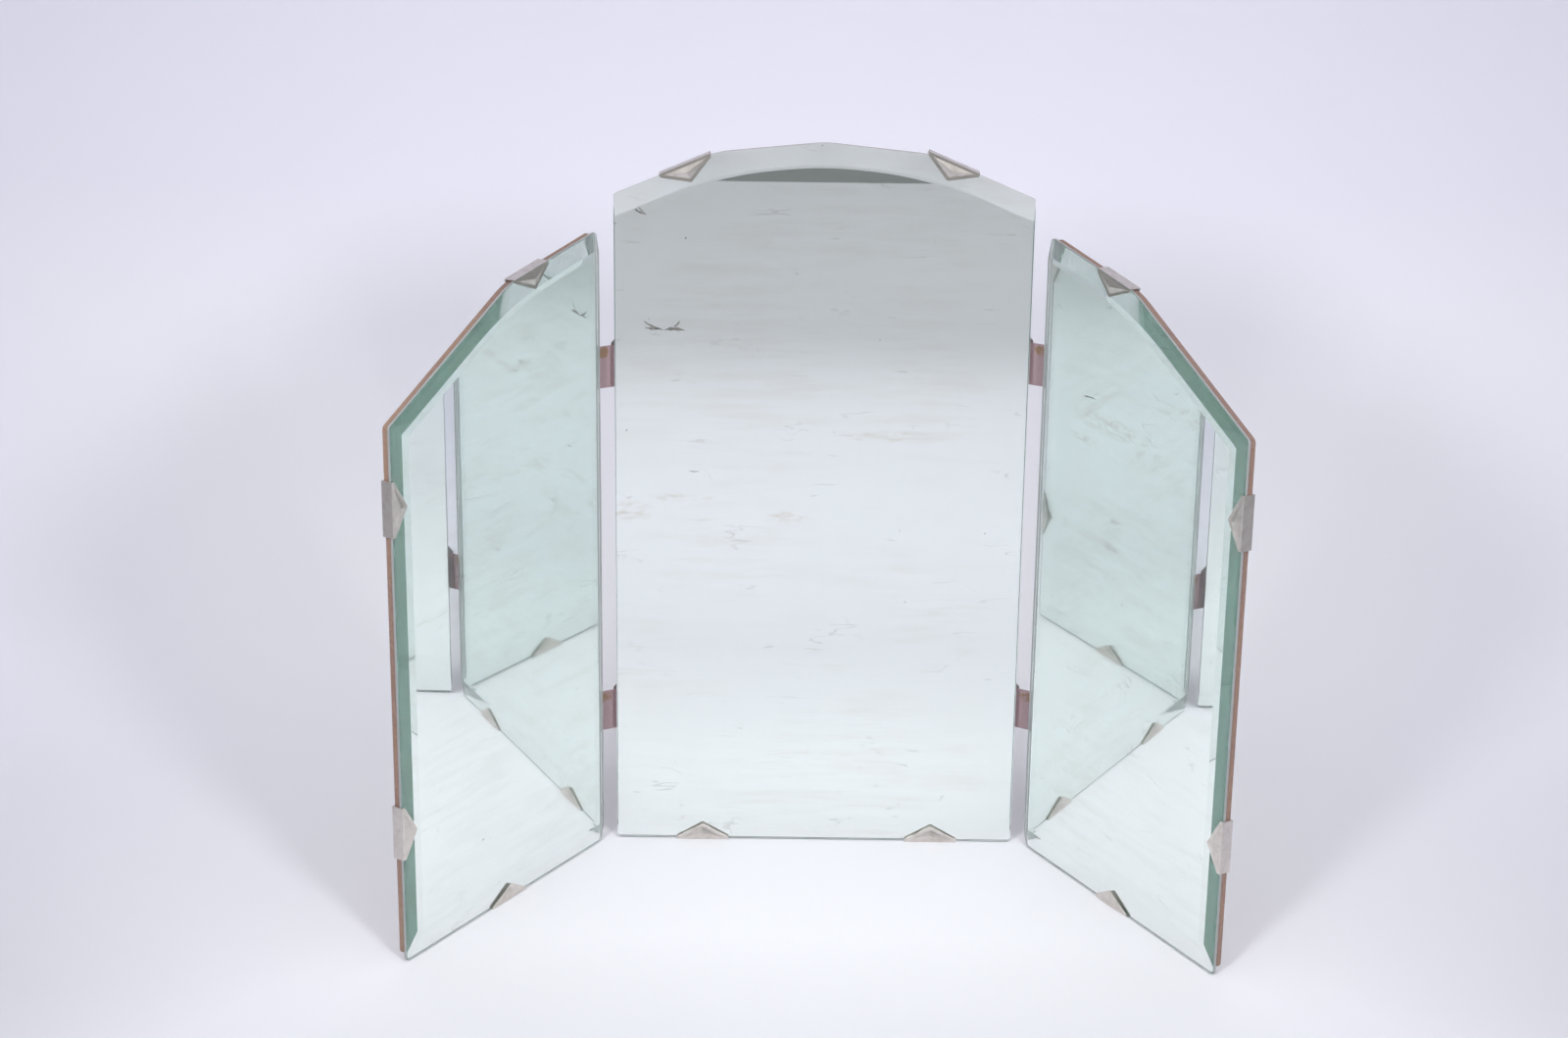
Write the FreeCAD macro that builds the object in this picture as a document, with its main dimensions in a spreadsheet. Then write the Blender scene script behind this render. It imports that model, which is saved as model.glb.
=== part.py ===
"""Trifold vanity mirror: three bevelled glass plates on backing boards, held by pressed corner
clips and joined by four cloth straps, so that both wings fold over the centre panel.

Frame: millimetres, +Z up, the glass faces -Y. The origin is the middle of the footprint, on the
surface that the mirror stands on. Every panel is drawn in a frame of its own: x along its width
(from its middle for the centre, from its hinge side for a wing), y from the glass front to the
back and z up from the glass's lower edge. A wing's x runs outwards, so it is negative on the left.
"""

import math
import os

import FreeCAD
import Part
import Sketcher

SIZES = {
    # glass outline
    "centre_width": 305.0,
    "centre_shoulder": 510.0,
    "centre_knee_offset": 79.0,
    "centre_knee_rise": 31.5,
    "centre_crown_rise": 8.0,
    "wing_width": 240.0,
    "wing_inner": 484.0,
    "wing_knee_offset": 103.0,
    "wing_knee_drop": 16.5,
    "wing_shoulder_drop": 69.5,
    "knee_radius": 70.0,
    "corner_radius": 3.0,
    # plate thickness and bevel
    "glass_thickness": 5.0,
    "bevel_width": 16.5,
    "bevel_depth": 2.5,
    # backing board
    "board_thickness": 4.5,
    "board_inset": 0.8,
    "board_rise": 4.0,
    "board_corner": 4.0,
    # pressed clips
    "clip_length": 40.0,
    "clip_reach": 13.0,
    "clip_sheet": 0.8,
    "clip_gap": 0.2,
    "clip_foot": 1.5,
    "relief_foot": 1.2,
    "relief_margin": 2.2,
    "relief_rise": 1.6,
    "relief_lip": 0.1,
    "relief_slope": 4.0,
    # where the clips sit, from the centre's sides, a wing's hinge side and the glass's foot
    "top_clip_left": 51.5,
    "top_clip_right": 59.5,
    "bottom_clip_left": 66.0,
    "bottom_clip_right": 62.0,
    "wing_top_clip": 80.0,
    "side_clip_upper": 339.5,
    "side_clip_lower": 99.5,
    "left_bottom_clip": 120.0,
    "right_bottom_clip": 116.0,
    # cloth straps and the plates that hold their ends
    "left_fold_angle": 58.5,
    "right_fold_angle": 60.5,
    "strap_span": 21.0,
    "strap_flap": 17.0,
    "strap_thickness": 1.2,
    "strap_height": 32.0,
    "strap_gap": 0.2,
    "left_upper_strap": 379.0,
    "left_lower_strap": 105.0,
    "right_upper_strap": 385.0,
    "right_lower_strap": 110.0,
    "plate_thickness": 0.9,
    "plate_width": 20.0,
    "plate_overhang": 3.0,
    "plate_drop": 15.0,
    "plate_eave": 17.0,
    "plate_point": 12.0,
    # tacks
    "tack_side": 1.5,
    "tack_point": 0.3,
    "tack_taper": 2.2,
    "tack_depth": 3.6,
    "tack_head": 2.3,
    "tack_crown": 1.2,
    "tack_rise": 0.9,
    "tack_gap": 0.1,
    "tack_spread": 8.0,
    "clip_tack_reach": 6.0,
}

LEFT, CENTRE, RIGHT = -1, 0, 1
SIDE_NAMES = {LEFT: "left", CENTRE: "centre", RIGHT: "right"}
UP = FreeCAD.Vector(0, 0, 1)
BACKWARDS = FreeCAD.Vector(0, 1, 0)

doc = FreeCAD.newDocument("trifold_mirror")
sheet = doc.addObject("Spreadsheet::Sheet", "Sizes")
for row, (name, number) in enumerate(SIZES.items(), start=1):
    sheet.set(f"A{row}", name)
    sheet.set(f"B{row}", str(number))
    sheet.setAlias(f"B{row}", name)
doc.recompute()

nodes = []


def size(name):
    """The number in a named cell of the sheet."""
    return float(sheet.get(name))


def finish(part, name, placement=None):
    """Gives a finished sub-part its node name and its place."""
    part.Label = name
    if placement is not None:
        part.Placement = placement
    nodes.append(part)
    return part


# ---------------------------------------------------------------- sketches and features


def origin_plane(body, role):
    """One of the three planes of a body's own origin."""
    return next(plane for plane in body.Origin.OriginFeatures if plane.Role == role)


def outline(body, name, role, corners):
    """A closed outline with straight sides. corners are pairs of expressions over the sheet."""
    sketch = body.newObject("Sketcher::SketchObject", name)
    sketch.AttachmentSupport = (origin_plane(body, role), [""])
    sketch.MapMode = "FlatFace"
    count = len(corners)
    turns = [2 * math.pi * i / count for i in range(count)]
    start = [FreeCAD.Vector(math.cos(turn), math.sin(turn), 0) for turn in turns]
    for i in range(count):
        sketch.addGeometry(Part.LineSegment(start[i], start[(i + 1) % count]), False)
    for i in range(count):
        sketch.addConstraint(Sketcher.Constraint("Coincident", i, 2, (i + 1) % count, 1))
    for i, (across, along) in enumerate(corners):
        for kind, letter, text, value in (
            ("DistanceX", "across", across, start[i].x),
            ("DistanceY", "along", along, start[i].y),
        ):
            rule = sketch.addConstraint(Sketcher.Constraint(kind, -1, 1, i, 1, value))
            sketch.renameConstraint(rule, f"{letter}{i}")
            sketch.setExpression(f"Constraints.{letter}{i}", text)
    return sketch


def pad(body, name, sketch, length, backwards=True):
    """A pad of a sketch. On the XZ plane, backwards pads towards +Y."""
    feature = body.newObject("PartDesign::Pad", name)
    feature.Profile = sketch
    feature.Reversed = backwards
    feature.setExpression("Length", length)
    doc.recompute()
    return feature


def set_back(sketch, depth):
    """Moves a sketch on the XZ plane back to a depth behind the glass front."""
    sketch.setExpression("AttachmentOffset.Base.z", f"-({depth})")


def edge_names(shape, wanted):
    """The names of a shape's edges that pass a test."""
    return [f"Edge{i}" for i, edge in enumerate(shape.Edges, start=1) if wanted(edge)]


def crosses_plate(edge):
    """True for an edge that runs straight through a plate's thickness."""
    box = edge.BoundBox
    return box.XLength < 1e-6 and box.ZLength < 1e-6


def round_upright_edges(body, name, base, places, radius):
    """Rounds the edges through the plate's thickness that stand at places, (x, z) pairs."""

    def chosen(edge):
        box = edge.BoundBox
        return crosses_plate(edge) and any(
            math.hypot(box.XMin - x, box.ZMin - z) < 0.01 for x, z in places
        )

    feature = body.newObject("PartDesign::Fillet", name)
    feature.Base = (base, edge_names(base.Shape, chosen))
    feature.setExpression("Radius", radius)
    doc.recompute()
    return feature


def bevel_front(body, name, base, wanted):
    """Grinds the wide shallow bevel along the chosen edges of the glass front."""

    def chosen(edge):
        box = edge.BoundBox
        return box.YMax < 1e-6 and wanted(box)

    feature = body.newObject("PartDesign::Chamfer", name)
    feature.Base = (base, edge_names(base.Shape, chosen))
    feature.ChamferType = "Two distances"
    feature.setExpression("Size", "Sizes.bevel_depth")
    feature.setExpression("Size2", "Sizes.bevel_width")
    doc.recompute()
    if "Invalid" in feature.State:
        # The two distances were read the other way round, deeper than the plate is thick.
        feature.FlipDirection = True
        doc.recompute()
    return feature


def drilled(name, base, drills):
    """The base with round holes through it."""
    tools = doc.addObject("Part::Compound", f"{name}_drills")
    tools.Links = drills
    cut = doc.addObject("Part::Cut", name)
    cut.Base = base
    cut.Tool = tools
    return cut


# ---------------------------------------------------------------- where things stand


def thickness():
    """Glass and board together."""
    return size("glass_thickness") + size("board_thickness")


def hinge_depth():
    """Depth of the strap's inner face, where it bends."""
    return thickness() + size("strap_gap")


def plate_depth():
    """Depth of the holding plate's inner face, behind the board and the strap."""
    return hinge_depth() + size("strap_thickness") + size("strap_gap")


def fold(side):
    """How far a wing is turned forwards from the plane of the centre, in degrees."""
    return size(f"{SIDE_NAMES[side]}_fold_angle")


def strap_ends(side):
    """The two lines that a strap bends along, as (x, y), with the centre's middle at x = 0."""
    half = math.radians(fold(side) / 2)
    near = FreeCAD.Vector(side * size("centre_width") / 2, hinge_depth(), 0)
    reach = FreeCAD.Vector(side * math.cos(half), -math.sin(half), 0)
    return near, near + reach * size("strap_span")


def panel_in_centre(side):
    """A panel's place in the centre panel's frame."""
    if side == CENTRE:
        return FreeCAD.Placement()
    turn = FreeCAD.Rotation(UP, -side * fold(side))
    far = strap_ends(side)[1]
    return FreeCAD.Placement(far - turn.multVec(BACKWARDS * hinge_depth()), turn)


def centre_place():
    """The centre panel's place: it puts the origin in the middle of the footprint."""
    outer = size("wing_width") + outer_offset()
    back = thickness() + outer_offset()
    sides, fronts = [], []
    for side in (LEFT, RIGHT):
        wing = panel_in_centre(side)
        sides.append(wing.multVec(FreeCAD.Vector(side * outer, back, 0)).x)
        fronts.append(wing.multVec(FreeCAD.Vector(side * outer, web_front(), 0)).y)
    rear = plate_depth() + size("plate_thickness") + size("tack_rise")
    middle = FreeCAD.Vector(sum(sides) / 2, (min(fronts) + rear) / 2, -outer_offset())
    return FreeCAD.Placement(-middle, FreeCAD.Rotation())


def panel_place(side):
    """A panel's place in the frame of the whole mirror."""
    return centre_place().multiply(panel_in_centre(side))


def bevel_angle():
    """Slope of the bevel against the glass front, in radians."""
    return math.atan2(size("bevel_depth"), size("bevel_width"))


def outer_offset():
    """How far a clip's outer faces stand off the glass and the board."""
    return size("clip_gap") + size("clip_sheet")


def web_front():
    """Depth of the front of a clip's web, where its sloping tab starts."""
    slope = bevel_angle()
    return size("bevel_depth") - outer_offset() * (1 - math.sin(slope)) / math.cos(slope)


def mirrored(corners, side):
    """Corner expressions with x turned over for the left side."""
    sign = "-1" if side == LEFT else "1"
    return [(f"{sign} * ({across})", along) for across, along in corners]


# ---------------------------------------------------------------- glass and board


def centre_corners(inset, rise):
    """Corners of the centre outline, moved in by inset at the sides and top, up by rise below."""
    half = f"Sizes.centre_width / 2 - {inset}"
    shoulder = f"Sizes.centre_shoulder - {inset}"
    knee = f"{shoulder} + Sizes.centre_knee_rise"
    crown = f"{knee} + Sizes.centre_crown_rise"
    return [
        (f"-({half})", rise),
        (half, rise),
        (half, shoulder),
        ("Sizes.centre_knee_offset", knee),
        ("0", crown),
        ("-Sizes.centre_knee_offset", knee),
        (f"-({half})", shoulder),
    ]


def wing_corners(inset, rise, side):
    """Corners of a wing outline, hinge side first."""
    outer = f"Sizes.wing_width - {inset}"
    inner_top = f"Sizes.wing_inner - {inset}"
    knee = f"{inner_top} - Sizes.wing_knee_drop"
    corners = [
        (inset, rise),
        (outer, rise),
        (outer, f"{knee} - Sizes.wing_shoulder_drop"),
        ("Sizes.wing_knee_offset", knee),
        (inset, inner_top),
    ]
    return mirrored(corners, side)


def centre_knee():
    """Height of the centre's knees."""
    return size("centre_shoulder") + size("centre_knee_rise")


def wing_knee():
    """Height of a wing's knee."""
    return size("wing_inner") - size("wing_knee_drop")


def wing_shoulder():
    """Height of a wing's outer corner."""
    return wing_knee() - size("wing_shoulder_drop")


def knee_places(side, inset):
    """Where the shallow bends of a panel's top stand, as (x, z)."""
    if side == CENTRE:
        offset, high = size("centre_knee_offset"), centre_knee() - inset
        return [(offset, high), (0, high + size("centre_crown_rise")), (-offset, high)]
    return [(side * size("wing_knee_offset"), wing_knee() - inset)]


def corner_places(side, inset, rise):
    """Where a panel's real corners stand, as (x, z)."""
    if side == CENTRE:
        half, high = size("centre_width") / 2 - inset, size("centre_shoulder") - inset
        return [(x, z) for x in (-half, half) for z in (rise, high)]
    outer = side * (size("wing_width") - inset)
    inner = side * inset
    return [
        (inner, rise),
        (inner, size("wing_inner") - inset),
        (outer, rise),
        (outer, wing_shoulder() - inset),
    ]


def panel_corners(side, inset, rise):
    """Corner expressions of any of the three panels."""
    return centre_corners(inset, rise) if side == CENTRE else wing_corners(inset, rise, side)


def hinge_sides(side):
    """The x of a panel's unground upright sides, where the straps pass."""
    if side == CENTRE:
        return [-size("centre_width") / 2, size("centre_width") / 2]
    return [0]


def glass(side):
    """A plate ground with one bevel all round, except along its hinge sides."""
    name = SIDE_NAMES[side]
    body = doc.addObject("PartDesign::Body", f"{name}_glass_body")
    sketch = outline(body, f"{name}_glass_outline", "XZ_Plane", panel_corners(side, "0", "0"))
    plate = pad(body, f"{name}_glass_plate", sketch, "Sizes.glass_thickness")

    plate = round_upright_edges(
        body, f"{name}_glass_knees", plate, knee_places(side, 0), "Sizes.knee_radius"
    )

    def upright(box):
        return box.XLength < 1e-6

    def at_hinge(box):
        return any(abs(box.XMin - x) < 0.01 for x in hinge_sides(side))

    plate = bevel_front(
        body, f"{name}_glass_top_bevel", plate, lambda box: not upright(box) and box.ZMin > 1
    )
    if side != CENTRE:
        plate = bevel_front(
            body, f"{name}_glass_side_bevel", plate, lambda box: upright(box) and not at_hinge(box)
        )
    plate = bevel_front(
        body, f"{name}_glass_foot_bevel", plate, lambda box: box.ZMax < 0.01
    )
    round_upright_edges(
        body, f"{name}_glass_corners", plate, corner_places(side, 0, 0), "Sizes.corner_radius"
    )
    finish(body, f"{name}_glass", panel_place(side))


def board(side, tacks):
    """A backing board, a little smaller than its glass, drilled for its tacks."""
    name = SIDE_NAMES[side]
    inset, rise = size("board_inset"), size("board_rise")
    body = doc.addObject("PartDesign::Body", f"{name}_board_body")
    corners = panel_corners(side, "Sizes.board_inset", "Sizes.board_rise")
    sketch = outline(body, f"{name}_board_outline", "XZ_Plane", corners)
    set_back(sketch, "Sizes.glass_thickness")
    plate = pad(body, f"{name}_board_plate", sketch, "Sizes.board_thickness")
    plate = round_upright_edges(
        body, f"{name}_board_knees", plate, knee_places(side, inset), "Sizes.knee_radius"
    )
    round_upright_edges(
        body, f"{name}_board_corners", plate, corner_places(side, inset, rise),
        "Sizes.board_corner",
    )
    depth = thickness() - size("tack_depth") - size("tack_gap")
    cuts = [tack_cut(f"{name}_board_cut", x, z, depth, "Sizes.tack_depth + 1") for x, z in tacks]
    finish(drilled(f"{name}_board", body, cuts), f"{name}_board", panel_place(side))


# ---------------------------------------------------------------- clips


def edge_point(start, end, distance):
    """A point on a straight edge of an outline and the direction into the panel from it.

    start to end runs anticlockwise, seen from the front with x to the right.
    """
    along = FreeCAD.Vector(end[0] - start[0], 0, end[1] - start[1])
    along.normalize()
    point = FreeCAD.Vector(start[0], 0, start[1]) + along * distance
    return point, FreeCAD.Vector(-along.z, 0, along.x)


def clip_seats(side):
    """Each clip of a panel: its name, the middle of its seat on the glass edge, the way in."""
    if side == CENTRE:
        half, high = size("centre_width") / 2, size("centre_shoulder")
        knee = (size("centre_knee_offset"), centre_knee())
        run, rise = half - knee[0], knee[1] - high
        stretch = math.hypot(run, rise) / run
        left = (run - size("top_clip_left")) * stretch
        right = size("top_clip_right") * stretch
        return [
            ("top_left", *edge_point((-knee[0], knee[1]), (-half, high), left)),
            ("top_right", *edge_point((half, high), knee, right)),
            ("bottom_left", *edge_point((-half, 0), (half, 0), size("bottom_clip_left"))),
            (
                "bottom_right",
                *edge_point((-half, 0), (half, 0), 2 * half - size("bottom_clip_right")),
            ),
        ]
    wide, high = size("wing_width"), wing_shoulder()
    knee = (size("wing_knee_offset"), wing_knee())
    inner = (0, size("wing_inner"))
    stretch = math.hypot(knee[0], inner[1] - knee[1]) / knee[0]
    seats = [
        ("top", *edge_point(knee, inner, (knee[0] - size("wing_top_clip")) * stretch)),
        ("upper", *edge_point((wide, 0), (wide, high), size("side_clip_upper"))),
        ("lower", *edge_point((wide, 0), (wide, high), size("side_clip_lower"))),
        ("bottom", *edge_point((0, 0), (wide, 0), size(f"{SIDE_NAMES[side]}_bottom_clip"))),
    ]
    return [
        (name, FreeCAD.Vector(side * at.x, 0, at.z), FreeCAD.Vector(side * way.x, 0, way.z))
        for name, at, way in seats
    ]


def seat_placement(at, way):
    """Turns a clip's own +Z to the way into the panel, about the panel's depth."""
    turn = FreeCAD.Rotation(BACKWARDS, math.degrees(math.atan2(way.x, way.z)))
    return FreeCAD.Placement(at, turn)


SLOPE = "atan(Sizes.bevel_depth / Sizes.bevel_width)"
STACK = "Sizes.glass_thickness + Sizes.board_thickness"


def on_tab(offset, along):
    """A point of the sloping tab's section as (y, z): offset before the bevel, along it inwards."""
    depth = f"Sizes.bevel_depth - ({offset}) * cos({SLOPE}) - ({along}) * sin({SLOPE})"
    inward = f"({along}) * cos({SLOPE}) - ({offset}) * sin({SLOPE})"
    return depth, inward


def bend_point(offset):
    """Where the tab's face at an offset meets the web's face at the same offset, as (y, z)."""
    depth = f"Sizes.bevel_depth - ({offset}) * (1 - sin({SLOPE})) / cos({SLOPE})"
    return depth, f"-({offset})"


def clip_section(body, name):
    """The clip's section: a tab on the bevel, a web across the edge and a tab on the board."""
    inner, outer = "Sizes.clip_gap", "Sizes.clip_gap + Sizes.clip_sheet"
    corners = [
        on_tab(inner, "Sizes.clip_reach"),
        on_tab(outer, "Sizes.clip_reach"),
        bend_point(outer),
        (f"{STACK} + {outer}", f"-({outer})"),
        (f"{STACK} + {outer}", "Sizes.clip_reach"),
        (f"{STACK} + {inner}", "Sizes.clip_reach"),
        (f"{STACK} + {inner}", f"-({inner})"),
        bend_point(inner),
    ]
    return outline(body, f"{name}_section", "YZ_Plane", corners)


GABLE = "(Sizes.clip_reach - Sizes.clip_foot) / (Sizes.clip_length / 2)"


def relief_outline(body, name, margin, foot, offset):
    """A triangle set in from the gable by margin, in a plane offset from the bevel."""
    drop = f"({margin}) * sqrt(1 + ({GABLE})^2)"
    half = f"Sizes.clip_length / 2 - ({foot} - Sizes.clip_foot + {drop}) / ({GABLE})"
    corners = [(f"-({half})", foot), (half, foot), ("0", f"Sizes.clip_reach - {drop}")]
    sketch = outline(body, name, "XZ_Plane", corners)
    sketch.AttachmentOffset = FreeCAD.Placement(
        FreeCAD.Vector(), FreeCAD.Rotation(FreeCAD.Vector(1, 0, 0), 10)
    )
    depth, inward = on_tab(offset, "0")
    sketch.setExpression("AttachmentOffset.Rotation.Angle", SLOPE)
    sketch.setExpression("AttachmentOffset.Base.y", inward)
    sketch.setExpression("AttachmentOffset.Base.z", f"-({depth})")
    return sketch


def relief(body, name):
    """Presses a low pyramid out of the tab, hollow behind."""
    outer = "Sizes.clip_gap + Sizes.clip_sheet"
    low = relief_outline(body, f"{name}_base", "Sizes.relief_margin", "Sizes.relief_foot", outer)
    block = pad(body, f"{name}_block", low, "Sizes.relief_rise", backwards=False)
    slope = bevel_angle()
    reach = outer_offset() + size("relief_rise")

    def on_top(edge):
        points = [vertex.Point - BACKWARDS * size("bevel_depth") for vertex in edge.Vertexes]
        heights = [-point.y * math.cos(slope) - point.z * math.sin(slope) for point in points]
        return all(abs(height - reach) < 0.01 for height in heights)

    pyramid = body.newObject("PartDesign::Chamfer", f"{name}_facets")
    pyramid.Base = (block, edge_names(block.Shape, on_top))
    pyramid.ChamferType = "Two distances"
    pyramid.setExpression("Size", "Sizes.relief_rise - Sizes.relief_lip")
    pyramid.setExpression("Size2", "Sizes.relief_slope")
    doc.recompute()
    margin = "Sizes.relief_margin + Sizes.relief_slope / 2"
    foot = "Sizes.relief_foot + Sizes.relief_slope / 2"
    hollow = body.newObject("PartDesign::Pocket", f"{name}_hollow")
    hollow.Profile = relief_outline(body, f"{name}_back", margin, foot, "Sizes.clip_gap")
    hollow.Reversed = True
    hollow.setExpression("Length", "Sizes.relief_rise / 2")
    doc.recompute()


def clip(name, place):
    """One pressed clip, pointed like a gable on both faces, with a raised pyramid in front."""
    body = doc.addObject("PartDesign::Body", f"{name}_body")
    strip = pad(body, f"{name}_strip", clip_section(body, name), "Sizes.clip_length")
    strip.Midplane = True
    half, tall = "Sizes.clip_length / 2", "Sizes.clip_reach + 2"
    gable = [
        (f"-{half}", "Sizes.clip_foot"),
        ("0", "Sizes.clip_reach"),
        (half, "Sizes.clip_foot"),
        (f"{half} + 1", "Sizes.clip_foot"),
        (f"{half} + 1", tall),
        (f"-{half} - 1", tall),
        (f"-{half} - 1", "Sizes.clip_foot"),
    ]
    point = body.newObject("PartDesign::Pocket", f"{name}_point")
    point.Profile = outline(body, f"{name}_gable", "XZ_Plane", gable)
    point.Type = "ThroughAll"
    point.Midplane = True
    doc.recompute()
    relief(body, f"{name}_relief")
    hole = tack_hole(f"{name}_hole", 0, size("clip_tack_reach"), thickness(), "Sizes.clip_sheet + 1")
    finish(drilled(name, body, [hole]), name, place)


def clips(side):
    """All clips of a panel."""
    panel = SIDE_NAMES[side]
    for name, at, way in clip_seats(side):
        clip(f"{panel}_clip_{name}", panel_place(side).multiply(seat_placement(at, way)))


# ---------------------------------------------------------------- tacks


def facing_back(x, z, depth):
    """A placement whose +Z runs backwards from a depth, at a place of the panel."""
    turn = FreeCAD.Rotation(FreeCAD.Vector(1, 0, 0), -90)
    return FreeCAD.Placement(FreeCAD.Vector(x, depth, z), turn)


def tack_cut(name, x, z, depth, length):
    """The square cut that a tack makes, from a depth backwards."""
    side = size("tack_side") / 2 + size("tack_gap")
    cut = doc.addObject("Part::Box", name)
    cut.setExpression("Length", "Sizes.tack_side + 2 * Sizes.tack_gap")
    cut.setExpression("Width", "Sizes.tack_side + 2 * Sizes.tack_gap")
    cut.setExpression("Height", length)
    shift = FreeCAD.Placement(FreeCAD.Vector(-side, -side, 0), FreeCAD.Rotation())
    cut.Placement = facing_back(x, z, depth).multiply(shift)
    return cut


def tack_hole(name, x, z, depth, length):
    """A punched round hole that a tack passes through, from a depth backwards."""
    hole = doc.addObject("Part::Cylinder", name)
    hole.setExpression("Radius", "Sizes.tack_side / sqrt(2) + Sizes.tack_gap")
    hole.setExpression("Height", length)
    hole.Placement = facing_back(x, z, depth)
    return hole


def ring(count, radius, height):
    """The corners of a regular outline at a height, with flats towards the axes."""
    turns = [2 * math.pi * (i + 0.5) / count for i in range(count)]
    return [FreeCAD.Vector(radius * math.cos(t), radius * math.sin(t), height) for t in turns]


def faceted(rings):
    """A closed solid with flat sides through rings with equally many corners."""
    outlines = [rings[0], rings[-1]]
    for low, high in zip(rings, rings[1:]):
        for i in range(len(low)):
            j = (i + 1) % len(low)
            outlines.append([low[i], low[j], high[j], high[i]])
    faces = [Part.Face(Part.makePolygon(corners + corners[:1])) for corners in outlines]
    solid = Part.Solid(Part.Shell(faces))
    if solid.Volume < 0:
        solid.reverse()
    return solid


def tack(grip):
    """A cut tack along +Z: its point at z = 0, grip between the board and its faceted head."""
    neck = size("tack_depth") + grip
    half_diagonal = size("tack_side") / math.sqrt(2)
    shank = faceted([
        ring(4, size("tack_point") / math.sqrt(2), 0),
        ring(4, half_diagonal, size("tack_taper")),
        ring(4, half_diagonal, neck),
    ])
    head = faceted([
        ring(8, size("tack_head"), neck),
        ring(8, size("tack_head"), neck + size("tack_rise") / 3),
        ring(8, size("tack_crown"), neck + size("tack_rise")),
    ])
    return shank.fuse(head)


def tacks(name, side, places, grip):
    """A group of equal tacks in one panel."""
    depth = thickness() - size("tack_depth")
    shapes = []
    for x, z in places:
        shape = tack(grip)
        shape.Placement = facing_back(x, z, depth)
        shapes.append(shape)
    group = doc.addObject("Part::Feature", name)
    group.Shape = Part.makeCompound(shapes)
    finish(group, name, panel_place(side))


def clip_tack_places(side):
    """Where a panel's clip tacks stand, as (x, z)."""
    reach = size("clip_tack_reach")
    points = [at + way * reach for _, at, way in clip_seats(side)]
    return [(point.x, point.z) for point in points]


def strap_tack_places(side):
    """Where a panel's strap tacks stand, as (x, z)."""
    middle = size("plate_width") / 2 - size("plate_overhang")
    places = []
    for edge, inward, height in strap_seats(side):
        for step in (-1, 1):
            places.append((edge + inward * middle, height + step * size("tack_spread")))
    return places


# ---------------------------------------------------------------- straps and their plates


def strap_heights(side):
    """The middles of a side's straps above the glass's lower edge, by name."""
    panel = SIDE_NAMES[side]
    return {place: size(f"{panel}_{place}_strap") for place in ("upper", "lower")}


def strap_seats(side):
    """The strap ends on a panel: the x of its edge, the way in from it and the height."""
    if side == CENTRE:
        half = size("centre_width") / 2
        return [
            (way * half, -way, height)
            for way in (LEFT, RIGHT)
            for height in strap_heights(way).values()
        ]
    return [(0, side, height) for height in strap_heights(side).values()]


def strap(side, place, height):
    """A cloth strap: a flap on the centre board, a free span and a flap on the wing board."""
    name = f"{SIDE_NAMES[side]}_strap_{place}"
    turn = f"(Sizes.{SIDE_NAMES[side]}_fold_angle * 1 deg)"
    half, quarter = f"({turn} / 2)", f"({turn} / 4)"
    near_x, near_y = "Sizes.centre_width / 2", f"({STACK} + Sizes.strap_gap)"
    far_x = f"({near_x} + Sizes.strap_span * cos({half}))"
    far_y = f"({near_y} - Sizes.strap_span * sin({half}))"
    flap, cloth = "Sizes.strap_flap", "Sizes.strap_thickness"
    tip_x = f"({far_x} + {flap} * cos({turn}))"
    tip_y = f"({far_y} - {flap} * sin({turn}))"
    corners = [
        (f"{near_x} - {flap}", near_y),
        (near_x, near_y),
        (far_x, far_y),
        (tip_x, tip_y),
        (f"{tip_x} + {cloth} * sin({turn})", f"{tip_y} + {cloth} * cos({turn})"),
        (
            f"{far_x} + {cloth} * (sin({half}) + tan({quarter}) * cos({half}))",
            f"{far_y} + {cloth} * (cos({half}) - tan({quarter}) * sin({half}))",
        ),
        (f"{near_x} + {cloth} * tan({quarter})", f"{near_y} + {cloth}"),
        (f"{near_x} - {flap}", f"{near_y} + {cloth}"),
    ]
    body = doc.addObject("PartDesign::Body", f"{name}_body")
    sketch = outline(body, f"{name}_profile", "XY_Plane", mirrored(corners, side))
    sketch.setExpression("AttachmentOffset.Base.z", f"Sizes.{SIDE_NAMES[side]}_{place}_strap")
    strip = pad(body, f"{name}_strip", sketch, "Sizes.strap_height", backwards=False)
    strip.Midplane = True
    drills = []
    for panel in (CENTRE, side):
        for x, z in strap_tack_places(panel):
            if abs(z - height) > size("strap_height") / 2 or (panel == CENTRE and x * side < 0):
                continue
            drill = tack_cut(f"{name}_cut", x, z, thickness(), f"{cloth} + 1")
            drill.Placement = panel_in_centre(panel).multiply(drill.Placement)
            drills.append(drill)
    finish(drilled(name, body, drills), name, centre_place())


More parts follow.
